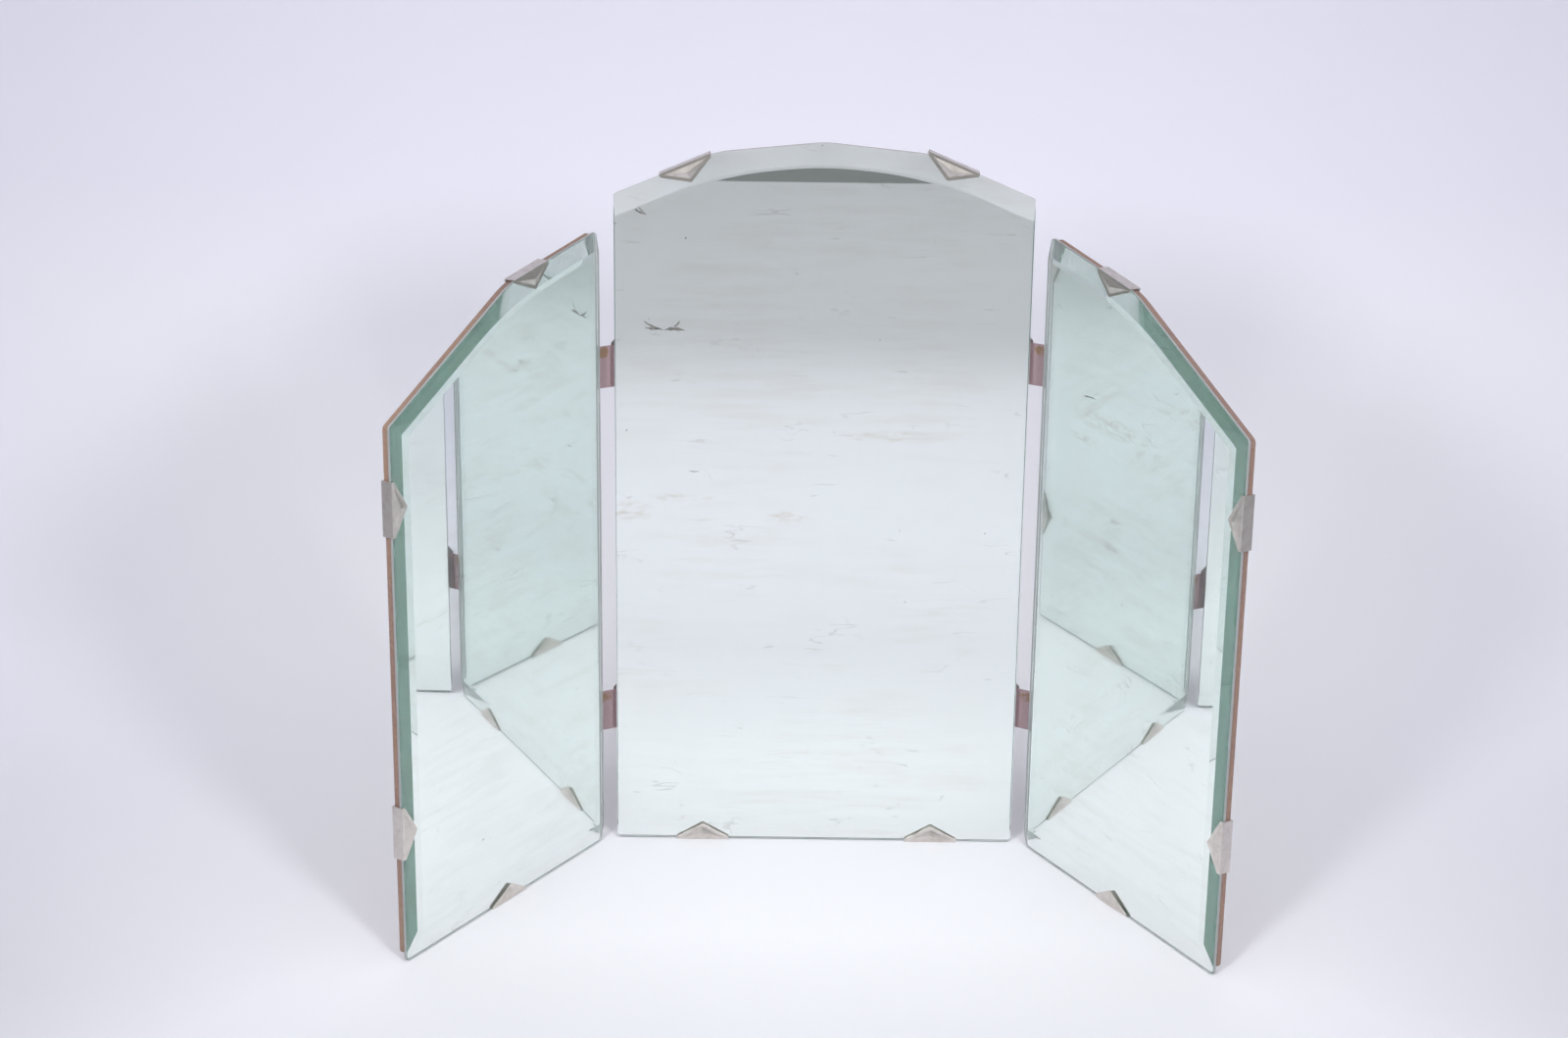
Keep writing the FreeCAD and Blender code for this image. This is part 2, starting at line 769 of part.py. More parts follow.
def hinge_plate(name, side, edge, inward, height_cell):
    """A gabled plate over a strap's end. It stands out past the board's edge."""
    edge_text = {LEFT: "-Sizes.centre_width / 2", RIGHT: "Sizes.centre_width / 2", 0: "0"}[edge]
    outer = f"{edge_text} - {inward} * Sizes.plate_overhang"
    inner = f"{outer} + {inward} * Sizes.plate_width"
    middle = f"{outer} + {inward} * Sizes.plate_width / 2"
    low, eave = f"{height_cell} - Sizes.plate_drop", f"{height_cell} + Sizes.plate_eave"
    corners = [
        (outer, low),
        (inner, low),
        (inner, eave),
        (middle, f"{eave} + Sizes.plate_point"),
        (outer, eave),
    ]
    body = doc.addObject("PartDesign::Body", f"{name}_body")
    sketch = outline(body, f"{name}_outline", "XZ_Plane", corners)
    set_back(sketch, f"{STACK} + 2 * Sizes.strap_gap + Sizes.strap_thickness")
    pad(body, f"{name}_plate", sketch, "Sizes.plate_thickness")
    at = edge * size("centre_width") / 2 + inward * (
        size("plate_width") / 2 - size("plate_overhang")
    )
    height = size(height_cell.removeprefix("Sizes."))
    drills = [
        tack_hole(f"{name}_hole", at, height + step * size("tack_spread"),
                  plate_depth() - 0.5, "Sizes.plate_thickness + 1")
        for step in (-1, 1)
    ]
    finish(drilled(name, body, drills), name, panel_place(side))


def straps(side):
    """A side's straps, with a plate on the centre and one on the wing for each."""
    panel = SIDE_NAMES[side]
    for place, height in strap_heights(side).items():
        cell = f"Sizes.{panel}_{place}_strap"
        strap(side, place, height)
        hinge_plate(f"centre_plate_{panel}_{place}", CENTRE, side, -side, cell)
        hinge_plate(f"{panel}_plate_{place}", side, 0, side, cell)


# ---------------------------------------------------------------- the whole mirror

for side in (CENTRE, LEFT, RIGHT):
    glass(side)
    board(side, clip_tack_places(side) + strap_tack_places(side))
    clips(side)
    panel = SIDE_NAMES[side]
    strap_grip = plate_depth() + size("plate_thickness") - thickness()
    tacks(f"{panel}_clip_tacks", side, clip_tack_places(side), outer_offset())
    tacks(f"{panel}_strap_tacks", side, strap_tack_places(side), strap_grip)
straps(LEFT)
straps(RIGHT)
doc.recompute()

for thing in doc.Objects:
    if {"Invalid", "Error"} & set(thing.State):
        raise RuntimeError(f"{thing.Label} did not build: {thing.State}")
for node in nodes:
    if node.Shape.isNull() or not node.Shape.isValid() or not node.Shape.Solids:
        raise RuntimeError(f"{node.Label} has no sound solid")

os.makedirs("parts", exist_ok=True)
for node in nodes:
    node.Shape.exportStep(f"parts/{node.Label}.step")
print(len(nodes), "nodes")
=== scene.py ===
"""Trifold vanity mirror: its finished plates, silvering, boards, clips and cloth hinges."""

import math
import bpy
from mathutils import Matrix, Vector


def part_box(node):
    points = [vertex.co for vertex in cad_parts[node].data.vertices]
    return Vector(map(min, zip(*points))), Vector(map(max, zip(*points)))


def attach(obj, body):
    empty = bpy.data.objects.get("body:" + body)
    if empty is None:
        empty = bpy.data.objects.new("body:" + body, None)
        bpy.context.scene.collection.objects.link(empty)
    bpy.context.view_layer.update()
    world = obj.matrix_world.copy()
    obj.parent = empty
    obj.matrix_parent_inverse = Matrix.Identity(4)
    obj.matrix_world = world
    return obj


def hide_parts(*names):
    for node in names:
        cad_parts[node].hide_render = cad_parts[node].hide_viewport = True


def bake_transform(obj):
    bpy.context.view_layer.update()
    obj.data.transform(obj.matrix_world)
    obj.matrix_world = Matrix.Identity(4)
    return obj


bl_info = {
    "name": "Trifold vanity mirror",
    "version": (1, 0, 0),
    "blender": (4, 5, 0),
    "location": "3D View > Sidebar > Trifold Mirror",
    "description": "Finishes the plates, boards, clips and straps of a three-panel bevelled mirror",
    "category": "Add Mesh",
}

import bmesh
import bpy
import numpy as np
from bpy.props import FloatProperty, FloatVectorProperty, PointerProperty
from mathutils import Matrix, Vector

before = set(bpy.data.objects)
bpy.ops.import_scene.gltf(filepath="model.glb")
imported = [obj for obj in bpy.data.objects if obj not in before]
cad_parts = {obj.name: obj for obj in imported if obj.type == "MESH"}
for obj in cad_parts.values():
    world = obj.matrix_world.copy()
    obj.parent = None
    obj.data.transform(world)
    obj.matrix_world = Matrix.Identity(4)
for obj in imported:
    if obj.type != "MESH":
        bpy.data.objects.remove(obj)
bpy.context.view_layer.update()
GLASS_LOW, GLASS_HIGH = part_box("centre_glass")
BOARD_LOW, BOARD_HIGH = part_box("centre_board")
STRAP_LOW, STRAP_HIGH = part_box("left_strap_upper")

CENTRE, LEFT, RIGHT = "centre", "left", "right"
PANELS = (CENTRE, LEFT, RIGHT)
SIDES = {LEFT: -1.0, RIGHT: 1.0}
BODIES = {CENTRE: "centre", LEFT: "left_wing", RIGHT: "right_wing"}
CLIP_NODES = sorted(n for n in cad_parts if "_clip_" in n and not n.endswith("tacks"))
PLATE_NODES = sorted(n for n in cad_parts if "_plate_" in n)
TACK_NODES = sorted(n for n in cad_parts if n.endswith("_tacks"))
BOARD_NODES = sorted(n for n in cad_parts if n.endswith("_board"))
STRAP_NODES = sorted(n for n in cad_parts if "_strap_" in n and not n.endswith("tacks"))

# angles between faces past which an edge is shown sharp
SHARP_EDGE, SHARP_BEVEL = math.radians(32), math.radians(3.5)
SHARP_RELIEF, SHARP_CLOTH = math.radians(20), math.radians(40)


def length(name, description, default):
    """A length property in metres."""
    return FloatProperty(
        name=name, description=description, default=default, min=0.0, unit="LENGTH", precision=5
    )


def angle(name, description, degrees):
    """An angle property, given in degrees."""
    return FloatProperty(
        name=name, description=description, default=math.radians(degrees), unit="ROTATION"
    )


def colour(name, description, default):
    """A colour property."""
    return FloatVectorProperty(
        name=name, description=description, default=default,
        size=3, min=0.0, max=1.0, subtype="COLOR",
    )


class TRIFOLD_PG_sizes(bpy.types.PropertyGroup):
    """Sizes of the three plates and of the straps that join them."""

    centre_width: length("Centre width", "Width of the centre plate", GLASS_HIGH.x - GLASS_LOW.x)
    centre_shoulder: length("Centre shoulder", "Height of the centre's upright sides", 0.510)
    centre_knee_offset: length("Centre knee offset", "From the middle to the arch's bends", 0.079)
    centre_knee_rise: length("Centre knee rise", "Height of the bends over the shoulder", 0.0315)
    centre_crown_rise: length("Centre crown rise", "Height of the crown over the bends", 0.008)
    wing_width: length("Wing width", "Width of a wing plate", 0.240)
    wing_inner: length("Wing inner side", "Height of a wing beside its hinge", 0.484)
    wing_knee_offset: length("Wing knee offset", "From a wing's hinge side to its bend", 0.103)
    wing_knee_drop: length("Wing knee drop", "From the inner corner down to the bend", 0.0165)
    wing_shoulder_drop: length("Wing shoulder drop", "From the bend to the outer corner", 0.0695)
    knee_radius: length("Knee radius", "Rounding of the outline's bends", 0.070)
    bevel_radius: length("Bevel line radius", "Rounding of the bends where bevel meets face", 0.280)
    corner_radius: length("Corner radius", "Rounding of the plates' corners", 0.003)
    thickness: length("Glass thickness", "Thickness of the plates", GLASS_HIGH.y - GLASS_LOW.y)
    stack: length("Glass and board", "Depth of plate and board together", BOARD_HIGH.y - GLASS_LOW.y)
    bevel_width: length("Bevel width", "Width of the ground bevel", 0.0165)
    bevel_depth: length("Bevel depth", "How much of the edge the bevel takes away", 0.0025)
    arris: length("Arris", "Width of the small polished edges", 0.00035)
    silver_margin: length("Silver margin", "Bare rim left round the silvering", 0.0004)
    silver_inset: length("Silver inset", "Glass between the silvering and the back", 0.00001)
    flake_inset: length("Flake inset", "Glass between a flaked stroke and the back", 0.00003)
    film: length("Film", "Thickness of the silvering and of the strokes", 0.00001)
    board_edge: length("Board edge", "Rounding of the boards' edges", 0.0004)
    clip_edge: length("Clip edge", "Rounding of the clips' sheet edges", 0.00022)
    plate_edge: length("Strap plate edge", "Rounding of the strap plates' edges", 0.0002)
    tack_edge: length("Tack edge", "Rounding of the tacks' edges", 0.0001)
    strap_span: length("Strap span", "Free length of cloth between two panels", 0.021)
    strap_flap: length("Strap flap", "Length of cloth held on each board", 0.017)
    strap_height: length("Strap height", "Height of a cloth strap", STRAP_HIGH.z - STRAP_LOW.z)
    strap_thickness: length("Strap thickness", "Thickness of a cloth strap", 0.0012)
    strap_gap: length("Strap gap", "Air between a board and its strap", 0.0002)
    strap_bend: length("Strap bend", "Cloth on each side of a fold that is curved", 0.0016)
    strap_give: length("Strap give", "Cloth on each side of a fold that turns with it", 0.0022)
    left_fold: angle("Left fold", "How far the left wing stands turned from the centre", 58.5)
    right_fold: angle("Right fold", "How far the right wing stands turned from the centre", 60.5)


class TRIFOLD_PG_finishes(bpy.types.PropertyGroup):
    """Colours of the finishes."""

    glass_tint: colour("Glass tint", "Colour that thick glass keeps", (0.12, 0.84, 0.68))
    glass_density: FloatProperty(
        name="Glass density", description="How strongly the glass takes light away, per metre",
        default=5.0, min=0.0,
    )
    ground: colour("Ground edge", "Colour of the plates' ground sides", (0.56, 0.55, 0.575))
    silver: colour("Silver", "Colour of the silvering", (0.955, 0.965, 0.96))
    smear: colour("Smear", "Colour of the old wiping marks on the silvering", (0.84, 0.76, 0.67))
    bare: colour("Bare spot", "Colour where the silvering has flaked off", (0.10, 0.10, 0.11))
    board: colour("Board", "Colour of the hardboard", (0.335, 0.228, 0.212))
    board_dark: colour("Board fibres", "Colour of the hardboard's dark fibres", (0.19, 0.12, 0.10))
    nickel: colour("Nickel", "Colour of the clips' plating", (0.76, 0.71, 0.67))
    tarnish: colour("Tarnish", "Colour of tarnish and of scratched silver", (0.47, 0.415, 0.375))
    steel: colour("Steel", "Colour of the hinge plates and tacks", (0.30, 0.29, 0.30))
    rust: colour("Rust", "Colour of the rust on the steel", (0.16, 0.09, 0.06))
    cloth: colour("Leathercloth", "Colour of the straps' coating", (0.37, 0.265, 0.29))
    cloth_light: colour("Leathercloth crests", "Colour of the rubbed grain", (0.51, 0.40, 0.425))
    cloth_worn: colour("Worn cloth", "Colour of cloth without its coating", (0.38, 0.25, 0.15))


class TRIFOLD_PG_stage(bpy.types.PropertyGroup):
    """The table, the backdrop, the light and the camera."""

    table: colour("Table", "Colour of the white table cover", (0.90, 0.90, 0.94))
    # painted shade: the darker table colour used where light is made to fall off in front of the
    # mirror and at the sides, not wear
    table_worn: colour("Worn table", "Colour of the cover's dull parts", (0.665, 0.665, 0.715))
    # painted shade: the darker colour that stands for the shade in faint creases of the cover
    crease: colour("Crease", "Colour of the cover's faint creases", (0.6, 0.6, 0.66))
    backdrop: colour("Backdrop", "Colour of the sweep behind the mirror", (0.81, 0.80, 0.905))
    room: colour("Room", "Light of the room round the table", (0.18, 0.195, 0.195))
    table_front: FloatProperty(
        name="Table front", description="Where the table ends in front of the mirror",
        default=-2.19, unit="LENGTH",
    )
    sweep_start: length("Sweep start", "Where the cover starts to curve up", 0.30)
    sweep_radius: length("Sweep radius", "Radius of the curve behind the mirror", 0.60)
    half_width: length("Half width", "Half the width of the cover", 2.6)
    cover_top: length("Cover top", "Height of the cover behind the mirror", 2.3)
    camera_place: FloatVectorProperty(
        name="Camera place", description="Where the camera stands",
        default=(-0.01909, -2.00495, 1.0009), size=3, subtype="XYZ", unit="LENGTH",
    )
    camera_pitch: angle("Camera pitch", "How far the camera looks down", 19.258)
    camera_yaw: angle("Camera yaw", "How far the camera is turned aside", -0.096)
    camera_roll: angle("Camera roll", "How far the camera is tilted", 0.733)
    lens: FloatProperty(
        name="Lens", description="Focal length in millimetres", default=68.43, min=1.0
    )


# ---------------------------------------------------------------- shapes of the panels


def panel_of(source):
    """The panel that a node is named after: the first word of its name."""
    return source.split("_")[0]


def centre_offset():
    """The lowest front middle point of the centre plate in the row frame, from its solid's box."""
    return np.array([(GLASS_LOW.x + GLASS_HIGH.x) / 2, GLASS_LOW.y, GLASS_LOW.z])


def folds(sizes, panel):
    """The two fold lines of a wing's straps as (x, y), and the wing's turn.

    The near fold stands at the centre's edge on the back of its board, and the far fold
    one span further, along half the turn.
    """
    side = SIDES[panel]
    turn = sizes.left_fold if panel == LEFT else sizes.right_fold
    near = np.array([side * sizes.centre_width / 2, sizes.stack + sizes.strap_gap])
    far = near + sizes.strap_span * np.array([side * math.cos(turn / 2), -math.sin(turn / 2)])
    return near, far, turn


def in_row(sizes, panel, points):
    """Points of a panel (x along it, y into it, z up) in the row frame.

    A wing's points are turned about the upright axis by its fold and carried to its far fold,
    so that the back of its board stays one strap gap in front of that fold.
    """
    points = np.asarray(points, float)
    if panel == CENTRE:
        return points + centre_offset()
    _, far, turn = folds(sizes, panel)
    turn = -SIDES[panel] * turn
    turning = np.array([[math.cos(turn), -math.sin(turn)], [math.sin(turn), math.cos(turn)]])
    base = far - turning @ np.array([0.0, sizes.stack + sizes.strap_gap])
    turned = points.copy()
    turned[..., :2] = points[..., :2] @ turning.T + base
    return turned + centre_offset()


def plate_corners(sizes, panel):
    """Corners (x, z) counter-clockwise from the front, their radii, and which sides are ground.

    Side i runs from corner i to the next one. The sides beside the hinges aren't ground.
    """
    knee, corner = sizes.knee_radius, sizes.corner_radius
    if panel == CENTRE:
        half, shoulder = sizes.centre_width / 2, sizes.centre_shoulder
        offset, bend = sizes.centre_knee_offset, shoulder + sizes.centre_knee_rise
        corners = [
            (-half, 0), (half, 0), (half, shoulder), (offset, bend),
            (0, bend + sizes.centre_crown_rise), (-offset, bend), (-half, shoulder),
        ]
        radii = [corner, corner, corner, knee, knee, knee, corner]
        ground = [1, 0, 1, 1, 1, 1, 0]
        return np.array(corners, float), np.array(radii), np.array(ground, float)
    bend = sizes.wing_inner - sizes.wing_knee_drop
    corners = np.array([
        (0, 0), (sizes.wing_width, 0), (sizes.wing_width, bend - sizes.wing_shoulder_drop),
        (sizes.wing_knee_offset, bend), (0, sizes.wing_inner),
    ], float)
    radii = np.array([corner, corner, corner, knee, corner])
    ground = np.array([1, 1, 1, 1, 0], float)
    if panel == LEFT:  # the mirror image, walked round the same way
        order = [1, 0, 4, 3, 2]
        corners, radii = corners[order] * [-1, 1], radii[order]
        ground = np.array([1, 0, 1, 1, 1], float)
    return corners, radii, ground


def plate_ring(corners, radii, insets, swell):
    """The outline moved inwards, each side by its own inset, with rounded corners, as (x, z).

    A new corner is where its two moved sides meet. Its arc has its centre one radius inside
    both sides and turns from one side's normal to the next one's in equal steps. The radius is
    less by the larger inset, and at the wide bends it grows by the swell.
    """
    least_radius, wide_radius, arc_points = 0.0001, 0.03, 17
    along = np.roll(corners, -1, 0) - corners
    along /= np.linalg.norm(along, axis=1)[:, None]
    after = np.stack([-along[:, 1], along[:, 0]], 1)
    before = np.roll(after, 1, 0)
    inset_after, inset_before = insets, np.roll(insets, 1)
    sides = np.stack([before, after], 1)
    reach = np.stack([
        (before * corners).sum(1) + inset_before, (after * corners).sum(1) + inset_after
    ], 1)
    met = np.linalg.solve(sides, reach[..., None])[..., 0]
    radii = np.maximum(radii - np.maximum(inset_after, inset_before), least_radius)
    radii = radii + swell * (radii > wide_radius)
    cosine = (before * after).sum(1)
    middle = met + (before + after) * (radii / (1 + cosine))[:, None]
    turn = np.arccos(np.clip(cosine, -1, 1))[:, None] * np.linspace(0, 1, arc_points)
    normal = np.stack([
        before[:, None, 0] * np.cos(turn) - before[:, None, 1] * np.sin(turn),
        before[:, None, 0] * np.sin(turn) + before[:, None, 1] * np.cos(turn),
    ], -1)
    return (middle[:, None] - radii[:, None, None] * normal).reshape(-1, 2)


def linked(name, data):
    """An object in the scene for a mesh, a lamp or a camera."""
    made = bpy.data.objects.new(name, data)
    bpy.context.scene.collection.objects.link(made)
    return made


def new_piece(name, points, faces, material, smooth_angle=None):
    """A mesh piece at the origin from points in the row frame, its faces turned outwards."""
    mesh = bpy.data.meshes.new(name)
    mesh.from_pydata(np.asarray(points, float).tolist(), [], faces)
    form = bmesh.new()
    form.from_mesh(mesh)
    bmesh.ops.remove_doubles(form, verts=form.verts, dist=1e-7)
    bmesh.ops.recalc_face_normals(form, faces=form.faces)
    form.to_mesh(mesh)
    form.free()
    if smooth_angle is not None:
        mesh.shade_smooth()
        mesh.set_sharp_from_angle(angle=smooth_angle)
    mesh.materials.append(material)
    return linked(name, mesh)


def ring_faces(rings, around):
    """Four-sided faces between consecutive rings of equal count, and the two end faces."""
    first = np.arange(rings - 1)[:, None] * around + np.arange(around)
    next_along = np.arange(rings - 1)[:, None] * around + (np.arange(around) + 1) % around
    faces = np.stack([first, next_along, next_along + around, first + around], -1)
    ends = [list(range(around))[::-1], list(range((rings - 1) * around, rings * around))]
    return faces.reshape(-1, 4).tolist() + ends


def panel_solid(sizes, panel, name, layers, material, smooth_angle=None):
    """A closed plate: the panel's outline carried through layers.

    A layer is its depth, the inset of the ground sides and the inset of the plain ones. The
    wide bends grow from the outline's radius to the bevel line's with the share of the bevel's
    width that the ground inset has reached.
    """
    corners, radii, ground = plate_corners(sizes, panel)
    rings = []
    for depth, ground_inset, plain_inset in layers:
        insets = np.where(ground > 0, ground_inset, plain_inset)
        share = ground_inset / sizes.bevel_width
        flat = plate_ring(corners, radii, insets, share * (sizes.bevel_radius - sizes.knee_radius))
        rings.append(np.stack([flat[:, 0], np.full(len(flat), depth), flat[:, 1]], 1))
    points = in_row(sizes, panel, np.concatenate(rings))
    return new_piece(name, points, ring_faces(len(layers), len(rings[0])), material, smooth_angle)


# ---------------------------------------------------------------- finishes


def given(tree, made, inputs):
    """Sets a node's sockets, by name or number, to values or to links from other sockets."""
    for key, value in inputs.items():
        if isinstance(value, bpy.types.NodeSocket):
            tree.links.new(value, made.inputs[key])
        else:
            made.inputs[key].default_value = value


def node(tree, kind, inputs=None, **settings):
    """A shader node with its settings and its sockets' values, or links into them."""
    made = tree.nodes.new(kind)
    for key, value in settings.items():
        setattr(made, key, value)
    given(tree, made, inputs or {})
    return made


def opened(name):
    """A new material with a Principled shader on its output."""
    material = bpy.data.materials.new(name)
    material.use_nodes = True
    tree = material.node_tree
    tree.nodes.clear()
    shader = node(tree, "ShaderNodeBsdfPrincipled")
    out = node(tree, "ShaderNodeOutputMaterial", {"Surface": shader.outputs[0]})
    return material, tree, shader, out


def finish(maker, group):
    """The material that a maker makes from its group of settings, made once, under its name."""
    return bpy.data.materials.get(maker.__name__) or maker(group)


def rgb(value):
    """A colour property with full opacity."""
    return (*value, 1.0)


def place(tree, scale=(1, 1, 1), location=(0, 0, 0)):
    """Object coordinates, stretched and then moved."""
    where = node(tree, "ShaderNodeTexCoord").outputs["Object"]
    inputs = {"Vector": where, "Location": location, "Scale": scale}
    return node(tree, "ShaderNodeMapping", inputs).outputs[0]


def noise(tree, at, scale, detail=4.0, roughness=0.55):
    """Cloudy noise."""
    inputs = {"Vector": at, "Scale": scale, "Detail": detail, "Roughness": roughness}
    return node(tree, "ShaderNodeTexNoise", inputs).outputs[0]


def cells(tree, at, scale):
    """Distance to the nearest of many scattered points."""
    return node(tree, "ShaderNodeTexVoronoi", {"Vector": at, "Scale": scale}).outputs["Distance"]


def ranged(tree, value, low, high, to_low=0.0, to_high=1.0):
    """A value's range spread to another, and held at its ends."""
    inputs = {0: value, 1: low, 2: high, 3: to_low, 4: to_high}
    return node(tree, "ShaderNodeMapRange", inputs).outputs[0]


def mixed(tree, factor, first, second):
    """Two colours mixed by a factor."""
    inputs = {0: factor, 6: first, 7: second}
    return node(tree, "ShaderNodeMix", inputs, data_type="RGBA").outputs[2]


def worked(tree, way, first, second):
    """Arithmetic on two values."""
    return node(tree, "ShaderNodeMath", {0: first, 1: second}, operation=way).outputs[0]


def product(tree, first, second):
    """Two values multiplied."""
    return worked(tree, "MULTIPLY", first, second)


def greatest(tree, first, second):
    """The greater of two values."""
    return worked(tree, "MAXIMUM", first, second)


def bumped(tree, shader, height, distance, strength=1.0):
    """Relief from a height."""
    inputs = {"Height": height, "Distance": distance, "Strength": strength}
    given(tree, shader, {"Normal": node(tree, "ShaderNodeBump", inputs).outputs[0]})


def patches(tree, spots):
    """Soft spots of the row frame, given as (middle, half sizes): one in a middle, none outside.

    Each spot's Mapping node brings its middle to the origin and its half sizes to one, and the
    spot is one less the distance from there. Where spots overlap, the greatest counts.
    """
    strongest = 0.0
    for middle, half_sizes in spots:
        scale = [1 / half for half in half_sizes]
        at = place(tree, scale, [-m * s for m, s in zip(middle, scale)])
        spot = node(tree, "ShaderNodeTexGradient", {"Vector": at}, gradient_type="SPHERICAL")
        strongest = greatest(tree, strongest, spot.outputs[1])
    return strongest


def glass(name, finishes, base, clear, roughness):
    """Old plate glass, green in its thickness."""
    material, tree, shader, out = opened(name)
    given(tree, shader, {
        "Base Color": base, "Transmission Weight": clear, "IOR": 1.52, "Roughness": roughness,
    })
    tint, density = rgb(finishes.glass_tint), finishes.glass_density
    absorb = node(tree, "ShaderNodeVolumeAbsorption", {"Color": tint, "Density": density})
    given(tree, out, {"Volume": absorb.outputs[0]})
    return material


def plate_glass(finishes):
    """The polished faces, bevels and small edges of the plates."""
    return glass("plate_glass", finishes, (1, 1, 1, 1), 1.0, 0.0)


def ground_glass(finishes):
    """The sides of the plates, which are only ground, and stay matt and grey with old dirt."""
    return glass("ground_glass", finishes, rgb(finishes.ground), 0.45, 0.45)


# wiping marks on the silvering: middle and half sizes in the row frame, in metres
SMEARS = (
    ((-0.1365, 0.1058, 0.2690), (0.020, 0.05, 0.010)),
    ((-0.0190, 0.1058, 0.2655), (0.022, 0.05, 0.006)),
    ((-0.1000, 0.1058, 0.2800), (0.030, 0.05, 0.004)),
    ((0.0600, 0.1058, 0.3300), (0.050, 0.05, 0.006)),
    ((0.2115, 0.0250, 0.3650), (0.040, 0.07, 0.009)),
    ((0.1950, 0.0540, 0.3480), (0.020, 0.04, 0.004)),
    ((-0.2300, 0.0300, 0.3300), (0.030, 0.05, 0.005)),
)


def hairlines(tree, scale, width, rarity):
    """Fine curved scratches: where a stretched noise is near its middle value, in rare places."""
    level = noise(tree, place(tree, scale), 1.0, 2.0, 0.4)
    near = node(tree, "ShaderNodeMath", {0: level, 1: 0.5, 2: width}, operation="COMPARE")
    where = noise(tree, place(tree, (31, 31, 47), (3, 1, 2)), 1.0, 3.0, 0.7)
    faint = ranged(tree, where, rarity, rarity + 0.08, 0.0, 0.20)
    return product(tree, near.outputs[0], faint)


def silvering(finishes):
    """Silver seen through the plate: bright, with brownish wiping marks and a few specks."""
    material, tree, shader, _ = opened("silvering")
    at = place(tree)
    streaks = ranged(tree, noise(tree, place(tree, (15, 15, 130)), 1.0, 5.0, 0.60), 0.44, 0.66)
    clouds = ranged(tree, noise(tree, at, 9.0, 4.0), 0.40, 0.58)
    haze = product(tree, product(tree, streaks, clouds), 0.19)
    broken = noise(tree, place(tree, (1, 1, 3)), 120.0, 6.0, 0.65)
    broken = ranged(tree, broken, 0.44, 0.66, 0.0, 0.75)
    smears = product(tree, ranged(tree, patches(tree, SMEARS), 0.0, 0.6), broken)
    marks = greatest(tree, haze, smears)
    long_lines = hairlines(tree, (12, 12, 110), 0.008, 0.55)
    lines = greatest(tree, long_lines, hairlines(tree, (30, 30, 50), 0.006, 0.60))
    specks = ranged(tree, cells(tree, place(tree, (1, 0.05, 1)), 60.0), 0.045, 0.012)
    specks = product(tree, specks, ranged(tree, noise(tree, at, 23.0, 2.0), 0.54, 0.58))
    base = mixed(tree, marks, rgb(finishes.silver), rgb(finishes.smear))
    base = mixed(tree, lines, base, rgb(finishes.tarnish))
    base = mixed(tree, specks, base, rgb(finishes.rust))
    rough = greatest(
        tree, ranged(tree, marks, 0.0, 1.0, 0.0, 0.08), ranged(tree, specks, 0.0, 1.0, 0.0, 0.5)
    )
    given(tree, shader, {"Base Color": base, "Roughness": rough, "Metallic": 0.93})
    return material


def bare_spot(finishes):
    """Backing paint that shows where silver has flaked off."""
    material, tree, shader, _ = opened("bare_spot")
    grain = noise(tree, place(tree), 900.0)
    base = mixed(tree, grain, rgb(finishes.bare), rgb(finishes.tarnish))
    rough = ranged(tree, grain, 0.2, 0.8, 0.45, 0.75)
    given(tree, shader, {"Base Color": base, "Roughness": rough})
    bumped(tree, shader, grain, 0.0001)
    return material


def pressed_board(finishes):
    """Pressed brown fibre board: matted fibres, stains and a dull pressed face."""
    material, tree, shader, _ = opened("pressed_board")
    at = place(tree)
    lengthwise = noise(tree, place(tree, (300, 300, 1500)), 1.0, 5.0, 0.6)
    upright = noise(tree, place(tree, (1300, 1300, 240)), 1.0, 5.0, 0.6)
    fibres = greatest(tree, lengthwise, upright)
    pale = ranged(tree, fibres, 0.45, 0.72)
    stains = ranged(tree, noise(tree, at, 7.0, 6.0, 0.62), 0.40, 0.75, 0.0, 0.55)
    specks = ranged(tree, noise(tree, at, 420.0, 2.0), 0.66, 0.74)
    base = mixed(tree, pale, rgb(finishes.board_dark), rgb(finishes.board))
    base = mixed(tree, stains, base, rgb(finishes.cloth_worn))
    base = mixed(tree, specks, base, rgb(finishes.board_dark))
    rough = ranged(tree, fibres, 0.4, 0.8, 0.82, 0.55)
    given(tree, shader, {"Base Color": base, "Roughness": rough})
    bumped(tree, shader, fibres, 0.0004, 0.6)
    return material


def aged_nickel(finishes):
    """Nickel plate gone dull: cloudy tarnish, fine rubbing lines and a few pits."""
    material, tree, shader, _ = opened("aged_nickel")
    at = place(tree)
    clouds = noise(tree, at, 160.0, 6.0, 0.65)
    rubbed = noise(tree, place(tree, (900, 900, 3200)), 1.0)
    pits = ranged(tree, cells(tree, at, 900.0), 0.22, 0.08)
    pits = product(tree, pits, ranged(tree, noise(tree, at, 330.0, 2.0), 0.56, 0.66))
    tarnish = ranged(tree, clouds, 0.42, 0.80, 0.0, 0.45)
    base = mixed(tree, tarnish, rgb(finishes.nickel), rgb(finishes.tarnish))
    base = mixed(tree, pits, base, rgb(finishes.rust))
    dull = ranged(tree, clouds, 0.35, 0.75, 0.32, 0.50)
    rough = worked(tree, "ADD", dull, ranged(tree, rubbed, 0.3, 0.7, -0.04, 0.06))
    given(tree, shader, {"Base Color": base, "Roughness": rough, "Metallic": 1.0})
    height = worked(tree, "SUBTRACT", product(tree, rubbed, 0.25), pits)
    bumped(tree, shader, height, 0.00008, 0.7)
    return material


